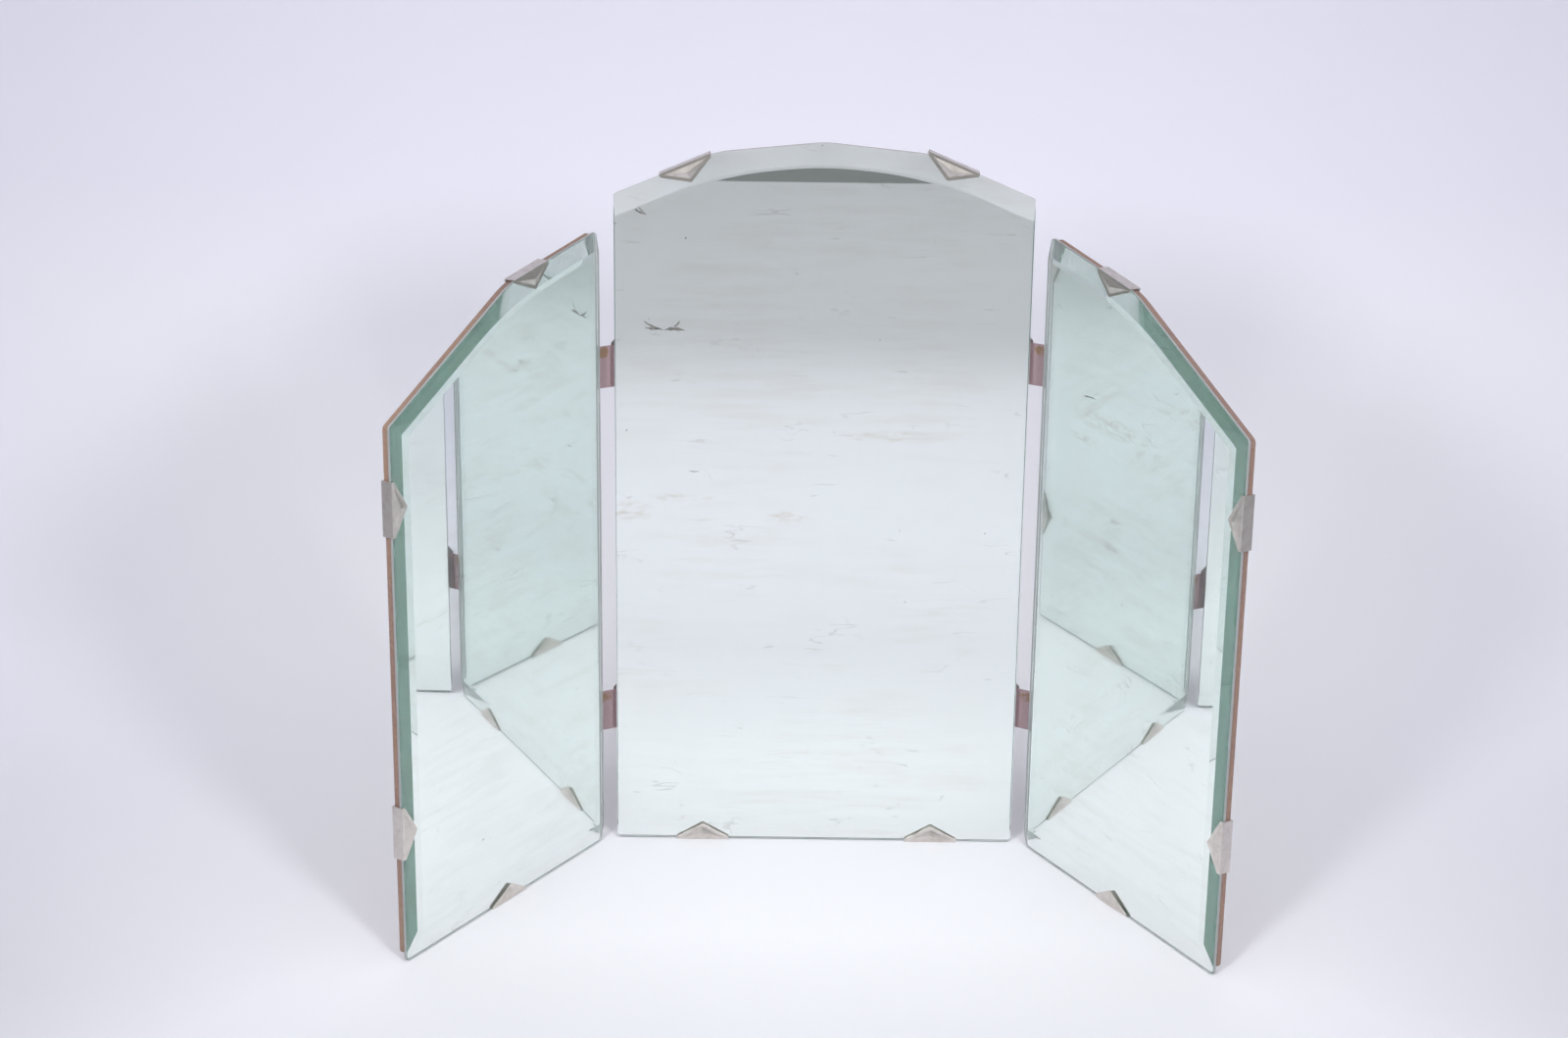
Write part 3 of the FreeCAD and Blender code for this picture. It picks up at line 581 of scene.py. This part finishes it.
def dark_steel(finishes):
    """Plain sheet steel gone dark, with freckles of rust."""
    material, tree, shader, _ = opened("dark_steel")
    at = place(tree)
    clouds = noise(tree, at, 220.0, 6.0, 0.6)
    freckles = ranged(tree, noise(tree, at, 700.0, 5.0, 0.7), 0.56, 0.66)
    tarnish = ranged(tree, clouds, 0.35, 0.7, 0.0, 0.6)
    base = mixed(tree, tarnish, rgb(finishes.steel), rgb(finishes.tarnish))
    base = mixed(tree, freckles, base, rgb(finishes.rust))
    rough = ranged(tree, freckles, 0.0, 1.0, 0.38, 0.78)
    given(tree, shader, {"Base Color": base, "Roughness": rough, "Metallic": 0.9})
    bumped(tree, shader, worked(tree, "ADD", clouds, freckles), 0.00006, 0.6)
    return material


def worn_spots():
    """Where each strap has lost its coating: near its top, beside the middle of its free cloth."""
    aside, down, half_sizes = 0.002, 0.005, (0.008, 0.02, 0.008)
    spots = []
    for strap in STRAP_NODES:
        low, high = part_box(strap)
        across = (low.x + high.x) / 2 + SIDES[panel_of(strap)] * aside
        spots.append(((across, (low.y + high.y) / 2, high.z - down), half_sizes))
    return spots


def coated_cloth(finishes):
    """Coated cloth: small pebble grain, rubbed crests, and bare weave where the coating is gone."""
    material, tree, shader, _ = opened("coated_cloth")
    at = place(tree)
    uneven = noise(tree, at, 260.0, 5.0, 0.6)
    crest = ranged(tree, cells(tree, at, 1150.0), 0.55, 0.1)
    worn = ranged(tree, patches(tree, worn_spots()), 0.0, 0.5)
    worn = ranged(tree, product(tree, worn, uneven), 0.34, 0.46)
    inputs = {"Vector": at, "Scale": 420.0, "Distortion": 1.0}
    weave = node(tree, "ShaderNodeTexWave", inputs, bands_direction="Z").outputs["Fac"]
    bare = mixed(tree, weave, rgb(finishes.board_dark), rgb(finishes.cloth_worn))
    rubbed = product(tree, crest, uneven)
    base = mixed(tree, rubbed, rgb(finishes.cloth), rgb(finishes.cloth_light))
    base = mixed(tree, worn, base, bare)
    rough = ranged(tree, uneven, 0.3, 0.7, 0.42, 0.62)
    given(tree, shader, {"Base Color": base, "Roughness": rough})
    height = worked(tree, "ADD", crest, product(tree, uneven, 0.6))
    bumped(tree, shader, height, 0.00025, 0.8)
    return material


def sweep_paper(stage):
    """Matt cover: white round the mirror, lilac where it rises behind, and with painted shade for
    light falling off in a band in front of the mirror and towards its sides.

    It is clear from behind, so that the camera can stand anywhere round the mirror.
    """
    material, tree, shader, out = opened("sweep_paper")
    at = place(tree)
    x, y, z = node(tree, "ShaderNodeSeparateXYZ", {0: at}).outputs
    sideways = worked(tree, "ABSOLUTE", x, 0.0)
    # the rise with height is the real sweep; the part by sideways distance is painted shade, turning
    # the table to the darker backdrop colour past 0.30 m either side
    rise = greatest(tree, ranged(tree, z, 0.0, 0.35), ranged(tree, sideways, 0.30, 0.90))
    # painted shade: the table is darkened in a band from 0.06 m to 1.45 m in front of the mirror,
    # most from 0.30 m to 0.85 m
    painted_front_shade = product(
        tree, ranged(tree, y, -1.45, -0.85), ranged(tree, y, -0.06, -0.30, 0.0, 0.62)
    )
    # painted shade: the table beyond 0.30 m to either side and in front of the sweep is darkened,
    # most past 0.62 m, for light falling off at the front corners
    aside = product(tree, ranged(tree, sideways, 0.30, 0.62), ranged(tree, y, 0.30, -0.15))
    # painted shade of faint creases: cloudy patches about a third of a metre across, mixed up to 5%
    # towards the crease shade colour
    creases = ranged(tree, noise(tree, at, 3.0, 3.0), 0.3, 0.7, 0.0, 0.05)
    base = mixed(tree, rise, rgb(stage.table), rgb(stage.backdrop))
    # painted shade: the front band and the sides are mixed towards the shaded table colour
    base = mixed(tree, greatest(tree, painted_front_shade, aside), base, rgb(stage.table_worn))
    base = mixed(tree, creases, base, rgb(stage.crease))
    given(tree, shader, {"Base Color": base, "Roughness": 0.9, "Specular IOR Level": 0.1})
    bumped(tree, shader, noise(tree, at, 900.0, 2.0), 0.0002, 0.1)
    behind = node(tree, "ShaderNodeNewGeometry").outputs["Backfacing"]
    clear = node(tree, "ShaderNodeBsdfTransparent").outputs[0]
    both = node(tree, "ShaderNodeMixShader", {0: behind, 1: shader.outputs[0], 2: clear})
    given(tree, out, {"Surface": both.outputs[0]})
    return material


# ---------------------------------------------------------------- copies of solids


def stand_in(piece, source):
    """The piece rides where its solid does, and stands for it."""
    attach(piece, BODIES[panel_of(source)])
    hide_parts(source)


def eased_copies(sources, ending, material, edge, sharp=SHARP_EDGE):
    """Copies of solids, with their flat faces joined and their sharp edges rounded by edge."""
    merged, flat = 2e-6, math.radians(0.6)
    for source in sources:
        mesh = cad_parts[source].data.copy()
        mesh.name = f"{source}_{ending}"
        form = bmesh.new()
        form.from_mesh(mesh)
        bmesh.ops.remove_doubles(form, verts=form.verts, dist=merged)
        bmesh.ops.dissolve_limit(
            form, angle_limit=flat, verts=form.verts, edges=form.edges, delimit=set()
        )
        form.to_mesh(mesh)
        form.free()
        mesh.materials.clear()
        mesh.materials.append(material)
        mesh.shade_smooth()
        mesh.set_sharp_from_angle(angle=sharp)
        piece = linked(mesh.name, mesh)
        eased = piece.modifiers.new("eased edges", "BEVEL")
        eased.width, eased.segments = edge, 2
        eased.limit_method, eased.angle_limit = "ANGLE", sharp
        eased.harden_normals = True
        stand_in(piece, source)


# ---------------------------------------------------------------- operators


def ground_faces(sizes, panel, piece):
    """Which faces are the plate's sides: those whose normal has almost no part along its depth."""
    normals = np.empty(len(piece.data.polygons) * 3)
    piece.data.polygons.foreach_get("normal", normals)
    inwards, foot = in_row(sizes, panel, [(0, 1, 0), (0, 0, 0)])
    return np.abs(normals.reshape(-1, 3) @ (inwards - foot)) < 0.01


class TRIFOLD_OT_plates(bpy.types.Operator):
    """Make the three bevelled glass plates"""

    bl_idname = "trifold.plates"
    bl_label = "Glass plates"

    def execute(self, context):
        """The outline is carried from the back to the front: arris, side, arris, bevel, face."""
        sizes, finishes = context.scene.trifold_sizes, context.scene.trifold_finishes
        material, matt = finish(plate_glass, finishes), finish(ground_glass, finishes)
        back, arris = sizes.thickness, sizes.arris
        wide, deep = sizes.bevel_width, sizes.bevel_depth
        side_arris = 0.6 * arris
        layers = [
            (back, arris, arris),
            (back - arris, 0.0, 0.0),
            (deep + side_arris, 0.0, 0.0),
            (deep * (1 - arris / wide), arris, 0.0),
            (arris, wide * (1 - arris / deep), 0.0),
            (0.0, wide, arris),
        ]
        for panel in PANELS:
            name = f"{panel}_plate_glass"
            piece = panel_solid(sizes, panel, name, layers, material, SHARP_BEVEL)
            piece.data.materials.append(matt)
            sides = ground_faces(sizes, panel, piece).astype(np.int32)
            piece.data.polygons.foreach_set("material_index", sides)
            stand_in(piece, f"{panel}_glass")
        return {"FINISHED"}


class TRIFOLD_OT_silvering(bpy.types.Operator):
    """Make the silver layers inside the backs of the plates"""

    bl_idname = "trifold.silvering"
    bl_label = "Silvering"

    def execute(self, context):
        """A thin closed sheet of the plate's outline, a hair in front of its back."""
        sizes, finishes = context.scene.trifold_sizes, context.scene.trifold_finishes
        material = finish(silvering, finishes)
        margin, back = sizes.silver_margin, sizes.thickness - sizes.silver_inset
        layers = [(back, margin, margin), (back - sizes.film, margin, margin)]
        for panel in PANELS:
            piece = panel_solid(sizes, panel, f"{panel}_silver", layers, material)
            stand_in(piece, f"{panel}_glass")
        return {"FINISHED"}


# flaked strokes on a panel's silver: panel, start, middle and end as (x, z) in mm, width in mm
FLAKES = (
    (CENTRE, (-131.1, 415.3), (-124.6, 411.4), (-115.9, 408.5), 1.3),
    (CENTRE, (-130.0, 410.2), (-124.5, 409.6), (-119.1, 409.7), 1.6),
    (CENTRE, (-115.9, 408.5), (-109.3, 409.6), (-100.6, 408.5), 2.2),
    (CENTRE, (-109.3, 410.9), (-106.5, 413.0), (-104.3, 416.2), 1.2),
    (CENTRE, (-137.1, 499.0), (-134.0, 497.0), (-128.6, 495.2), 1.3),
    (CENTRE, (-134.5, 500.5), (-132.0, 498.0), (-130.0, 496.0), 0.8),
    (CENTRE, (-98.0, 300.5), (-94.0, 299.6), (-90.0, 300.2), 0.6),
    (CENTRE, (-20.5, 452.0), (-19.6, 452.6), (-18.6, 452.2), 0.6),
    (RIGHT, (48.5, 377.5), (56.0, 379.0), (66.0, 379.2), 0.8),
)


def stroke(points, width, number):
    """The two edges of a stroke through three points, as (x, z).

    Its line is the parabola that passes the middle point half way. Its half width is a power of
    a half sine, with a ripple that differs from stroke to stroke, and blunt tips.
    """
    start, middle, end = (np.array(point, float) / 1000 for point in points)
    t = np.linspace(0, 1, 25)[:, None]
    line = (1 - t) * (1 - 2 * t) * start + 4 * t * (1 - t) * middle + t * (2 * t - 1) * end
    along = np.gradient(line, axis=0)
    along /= np.linalg.norm(along, axis=1)[:, None]
    across = np.stack([-along[:, 1], along[:, 0]], 1)
    swell = np.sin(np.pi * t) ** 0.7 * (1 + 0.3 * np.sin(17 * t + number)) + 0.08
    half = width / 2000 * swell
    return line - half * across, line + half * across


class TRIFOLD_OT_flakes(bpy.types.Operator):
    """Make the small strokes where the silver has flaked off"""

    bl_idname = "trifold.flakes"
    bl_label = "Flaked silver"

    def execute(self, context):
        """Each stroke is a thin closed strip in front of the silvering."""
        sizes, finishes = context.scene.trifold_sizes, context.scene.trifold_finishes
        material = finish(bare_spot, finishes)
        back = sizes.thickness - sizes.flake_inset
        front = back - sizes.film
        for number, (panel, *points, width) in enumerate(FLAKES):
            left, right = stroke(points, width, number)
            loops = []
            for edge, depth in ((left, front), (right, front), (right, back), (left, back)):
                loops.append(np.stack([edge[:, 0], np.full(len(edge), depth), edge[:, 1]], 1))
            rings = in_row(sizes, panel, np.stack(loops, 1).reshape(-1, 3))
            name = f"{panel}_flake_{number + 1}"
            piece = new_piece(name, rings, ring_faces(len(left), len(loops)), material)
            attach(piece, BODIES[panel])
        return {"FINISHED"}


class TRIFOLD_OT_boards(bpy.types.Operator):
    """Make the three hardboard backs"""

    bl_idname = "trifold.boards"
    bl_label = "Backing boards"

    def execute(self, context):
        """Each board's solid with eased edges."""
        edge = context.scene.trifold_sizes.board_edge
        material = finish(pressed_board, context.scene.trifold_finishes)
        eased_copies(BOARD_NODES, "backing", material, edge)
        return {"FINISHED"}


class TRIFOLD_OT_clips(bpy.types.Operator):
    """Make the pressed nickel clips"""

    bl_idname = "trifold.clips"
    bl_label = "Clips"

    def execute(self, context):
        """Each clip's solid with its sheet edges rounded."""
        edge = context.scene.trifold_sizes.clip_edge
        material = finish(aged_nickel, context.scene.trifold_finishes)
        eased_copies(CLIP_NODES, "pressed", material, edge, SHARP_RELIEF)
        return {"FINISHED"}


class TRIFOLD_OT_hinge_plates(bpy.types.Operator):
    """Make the steel plates that hold the straps"""

    bl_idname = "trifold.hinge_plates"
    bl_label = "Strap plates"

    def execute(self, context):
        """Each plate's solid with its sheet edges rounded."""
        edge = context.scene.trifold_sizes.plate_edge
        material = finish(dark_steel, context.scene.trifold_finishes)
        eased_copies(PLATE_NODES, "sheet", material, edge)
        return {"FINISHED"}


class TRIFOLD_OT_tacks(bpy.types.Operator):
    """Make the cut tacks"""

    bl_idname = "trifold.tacks"
    bl_label = "Tacks"

    def execute(self, context):
        """Each group of tacks with its edges eased."""
        edge = context.scene.trifold_sizes.tack_edge
        material = finish(dark_steel, context.scene.trifold_finishes)
        eased_copies(TACK_NODES, "driven", material, edge)
        return {"FINISHED"}


def unit(vector):
    """A vector of length one."""
    return vector / np.linalg.norm(vector)


def bent_path(start, corner, end, rounding):
    """A path from start to end that turns at a corner by a parabola over the rounding length."""
    enter = corner + unit(start - corner) * rounding
    leave = corner + unit(end - corner) * rounding
    t = np.linspace(0, 1, 15)[:, None]
    curve = (1 - t) ** 2 * enter + 2 * t * (1 - t) * corner + t ** 2 * leave
    before, after = start + (enter - start) * t[:-1], leave + (end - leave) * t[1:]
    return np.concatenate([before, curve, after])


def strap_section(height, thickness):
    """A flat section as (out, up): a rectangle with softly rounded corners, dented by its hems.

    Each coordinate of an even turn round a circle is raised to a small power, which squares the
    circle. Beside its two folded edges the cloth is thinner, by a bell curve of the height.
    """
    squareness, dent, dent_place, dent_width = 0.22, 0.16, 0.80, 0.05
    turn = np.linspace(0, 2 * np.pi, 96, endpoint=False)
    out = np.sign(np.cos(turn)) * np.abs(np.cos(turn)) ** squareness
    up = np.sign(np.sin(turn)) * np.abs(np.sin(turn)) ** squareness
    hem = np.exp(-((np.abs(up) - dent_place) / dent_width) ** 2)
    return np.stack([out * (1 - dent * hem) * thickness / 2, up * height / 2], 1)


def strap_half(sizes, path, low, free_end):
    """The section carried along a half strap's path in plan; its free end is rounded off.

    Each ring stands across the path's direction. Over the last stretch before the free end the
    thickness falls to a quarter along a quarter circle, and the height by half as much.
    """
    rounded, least = 0.6, 0.25
    height, thickness = sizes.strap_height, sizes.strap_thickness
    along = np.gradient(path, axis=0)
    along /= np.linalg.norm(along, axis=1)[:, None]
    across = np.stack([along[:, 1], -along[:, 0]], 1)
    section = strap_section(height, thickness)
    steps = np.linalg.norm(np.diff(path, axis=0), axis=1)
    travelled = np.concatenate([[0], np.cumsum(steps)])
    left = travelled if free_end == "start" else travelled[-1] - travelled
    near = np.clip(left / (thickness * rounded), 0, 1)
    full = least + (1 - least) * np.sqrt(1 - (1 - near) ** 2)
    flat = path[:, None] + across[:, None] * (section[None, :, 0] * full[:, None])[..., None]
    lost = (1 - full[:, None]) * np.sign(section[None, :, 1]) * thickness / 4
    up = section[None, :, 1] - lost + low + height / 2
    return np.concatenate([flat, up[..., None]], -1)


def strap_lines(sizes, panel):
    """Plan lines of a strap's two halves: word, start, corner, end, free end and fold line.

    They run through the middle of the cloth, half a thickness behind the fold lines. Each
    corner is where the middle lines on the two sides of a fold meet, and the halves meet
    midway between the corners.
    """
    near, far, turn = folds(sizes, panel)
    half, quarter, middle = turn / 2, turn / 4, sizes.strap_thickness / 2
    mirror = np.array([SIDES[panel], 1.0])
    bend_near = near + mirror * [middle * math.tan(quarter), middle]
    bend_far = far + mirror * [
        middle * (math.sin(half) + math.tan(quarter) * math.cos(half)),
        middle * (math.cos(half) - math.tan(quarter) * math.sin(half)),
    ]
    inner_tip = near + mirror * [-sizes.strap_flap, middle]
    outer_tip = far + mirror * [
        sizes.strap_flap * math.cos(turn) + middle * math.sin(turn),
        -sizes.strap_flap * math.sin(turn) + middle * math.cos(turn),
    ]
    web = (bend_near + bend_far) / 2
    return (
        ("inner", inner_tip, bend_near, web, "start", near),
        ("outer", web, bend_far, outer_tip, "end", far),
    )


class TRIFOLD_OT_straps(bpy.types.Operator):
    """Make the four leathercloth straps, each of two halves that meet in the free cloth"""

    bl_idname = "trifold.straps"
    bl_label = "Cloth straps"

    def execute(self, context):
        """Each half's section is carried over its fold, and bends there."""
        sizes = context.scene.trifold_sizes
        material = finish(coated_cloth, context.scene.trifold_finishes)
        offset = centre_offset()
        for source in STRAP_NODES:
            panel = panel_of(source)
            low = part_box(source)[0].z
            for word, start, corner, end, free_end, fold in strap_lines(sizes, panel):
                path = bent_path(start, corner, end, sizes.strap_bend)
                rings = strap_half(sizes, path, low - offset[2], free_end)
                faces = ring_faces(*rings.shape[:2])
                points = rings.reshape(-1, 3) + offset
                piece = new_piece(f"{source}_{word}", points, faces, material, SHARP_CLOTH)
                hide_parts(source)
                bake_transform(piece)
        return {"FINISHED"}


# soft boxes: name, place, size, power, spread in degrees, colour, and whether plates show it
SOFT_BOXES = (
    ("soft_box_left", (-0.75, -1.7, 1.2), 0.32, 4.3, 84.0, (0.98, 0.98, 1.0), False),
    ("soft_box_right", (0.75, -1.7, 1.2), 0.32, 4.3, 84.0, (0.98, 0.98, 1.0), False),
    ("soft_box_top", (0.0, -0.95, 2.4), 4.2, 44.0, 180.0, (1.0, 0.99, 1.0), True),
)
LIT_PLACE = Vector((0, 0.25, 0.2))
BOUNCES = 72  # light goes to and fro between the plates, and through their faces each time


class TRIFOLD_OT_stage(bpy.types.Operator):
    """Make the table cover, the light and the camera"""

    bl_idname = "trifold.stage"
    bl_label = "Stage, light and camera"

    def execute(self, context):
        """The cover, the lamps, the room's light and the camera, one after another."""
        stage = context.scene.trifold_stage
        self.cover(stage)
        self.light()
        self.room(context, stage)
        self.camera(context, stage)
        return {"FINISHED"}

    def cover(self, stage):
        """Its side view, a floor line, a quarter circle and an upright, carried sideways."""
        start, radius = stage.sweep_start, stage.sweep_radius
        floor_y = np.linspace(stage.table_front, start, 24)
        turn = np.linspace(0, np.pi / 2, 33)[1:]
        wall_z = np.linspace(radius, stage.cover_top, 12)[1:]
        side_view = np.concatenate([
            np.stack([floor_y, np.zeros(len(floor_y))], 1),
            np.stack([start + radius * np.sin(turn), radius * (1 - np.cos(turn))], 1),
            np.stack([np.full(len(wall_z), start + radius), wall_z], 1),
        ])
        across = np.linspace(-stage.half_width, stage.half_width, 9)
        rows, columns = len(side_view), len(across)
        grid = np.empty((rows, columns, 3))
        grid[..., 0] = across
        grid[..., 1:] = side_view[:, None]
        first = (np.arange(rows - 1)[:, None] * columns + np.arange(columns - 1)).ravel()
        faces = np.stack([first, first + 1, first + columns + 1, first + columns], 1)
        mesh = bpy.data.meshes.new("table_cover")
        mesh.from_pydata(grid.reshape(-1, 3).tolist(), [], faces.tolist())
        mesh.shade_smooth()
        mesh.materials.append(finish(sweep_paper, stage))
        linked("table_cover", mesh)

    def light(self):
        """Three soft boxes that look at a place behind the centre plate."""
        for name, at, size, power, spread, tint, shown in SOFT_BOXES:
            lamp = bpy.data.lights.new(name, "AREA")
            lamp.shape, lamp.size, lamp.energy, lamp.color = "SQUARE", size, power, tint
            lamp.spread = math.radians(spread)
            box = linked(name, lamp)
            box.location = at
            box.rotation_euler = (LIT_PLACE - Vector(at)).to_track_quat("-Z", "Y").to_euler()
            box.visible_camera, box.visible_glossy = False, shown

    def room(self, context, stage):
        """A plain room: pale where the camera sees past the cover, dim in what the plates show."""
        world = bpy.data.worlds.new("room")
        context.scene.world = world
        world.use_nodes = True
        tree = world.node_tree
        tree.nodes.clear()
        dim = node(tree, "ShaderNodeBackground", {0: rgb(stage.room)}).outputs[0]
        pale = node(tree, "ShaderNodeBackground", {0: rgb(stage.backdrop)}).outputs[0]
        straight = node(tree, "ShaderNodeLightPath").outputs["Is Camera Ray"]
        both = node(tree, "ShaderNodeMixShader", {0: straight, 1: dim, 2: pale})
        node(tree, "ShaderNodeOutputWorld", {"Surface": both.outputs[0]})

    def camera(self, context, stage):
        """The camera looks along the yaw, down by the pitch, and is tilted by the roll."""
        pitch, yaw, roll = stage.camera_pitch, stage.camera_yaw, stage.camera_roll
        ahead = Vector((
            math.sin(yaw) * math.cos(pitch), math.cos(yaw) * math.cos(pitch), -math.sin(pitch)
        ))
        right = Vector((math.cos(yaw), -math.sin(yaw), 0))
        up = right.cross(ahead)
        tilted_right = right * math.cos(roll) + up * math.sin(roll)
        tilted_up = up * math.cos(roll) - right * math.sin(roll)
        data = bpy.data.cameras.new("camera")
        data.sensor_width, data.lens, data.sensor_fit = 36.0, stage.lens, "HORIZONTAL"
        data.clip_start, data.clip_end = 0.05, 50.0
        camera = linked("camera", data)
        turned = Matrix((tilted_right, tilted_up, -ahead)).transposed().to_4x4()
        camera.matrix_world = Matrix.Translation(stage.camera_place) @ turned
        context.scene.camera = camera
        context.scene.view_settings.view_transform = "Standard"
        cycles = context.scene.cycles
        cycles.max_bounces = cycles.glossy_bounces = cycles.transmission_bounces = BOUNCES


class TRIFOLD_PT_panel(bpy.types.Panel):
    """Settings and makers of the mirror"""

    bl_idname = "TRIFOLD_PT_panel"
    bl_label = "Trifold mirror"
    bl_space_type = "VIEW_3D"
    bl_region_type = "UI"
    bl_category = "Trifold Mirror"

    def draw(self, context):
        """One button for each maker, then the settings."""
        column = self.layout.column()
        for maker in OPERATORS:
            column.operator(maker.bl_idname)
        for name in GROUPS:
            group = getattr(context.scene, name)
            box = self.layout.box()
            for setting in group.__annotations__:
                box.prop(group, setting)


OPERATORS = (
    TRIFOLD_OT_plates,
    TRIFOLD_OT_silvering,
    TRIFOLD_OT_flakes,
    TRIFOLD_OT_boards,
    TRIFOLD_OT_clips,
    TRIFOLD_OT_hinge_plates,
    TRIFOLD_OT_tacks,
    TRIFOLD_OT_straps,
    TRIFOLD_OT_stage,
)
GROUPS = {
    "trifold_sizes": TRIFOLD_PG_sizes,
    "trifold_finishes": TRIFOLD_PG_finishes,
    "trifold_stage": TRIFOLD_PG_stage,
}


def register():
    """Registers the groups, the makers and the panel."""
    for group in GROUPS.values():
        bpy.utils.register_class(group)
    for name, group in GROUPS.items():
        setattr(bpy.types.Scene, name, PointerProperty(type=group))
    for maker in OPERATORS:
        bpy.utils.register_class(maker)
    bpy.utils.register_class(TRIFOLD_PT_panel)


def unregister():
    """Takes them away again."""
    bpy.utils.unregister_class(TRIFOLD_PT_panel)
    for maker in reversed(OPERATORS):
        bpy.utils.unregister_class(maker)
    for name in GROUPS:
        delattr(bpy.types.Scene, name)
    for group in reversed(GROUPS.values()):
        bpy.utils.unregister_class(group)


def main():
    """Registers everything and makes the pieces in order."""
    register()
    bpy.ops.trifold.stage()
    bpy.ops.trifold.plates()
    bpy.ops.trifold.silvering()
    bpy.ops.trifold.flakes()
    bpy.ops.trifold.boards()
    bpy.ops.trifold.clips()
    bpy.ops.trifold.hinge_plates()
    bpy.ops.trifold.tacks()
    bpy.ops.trifold.straps()


if __name__ == "__main__":
    main()
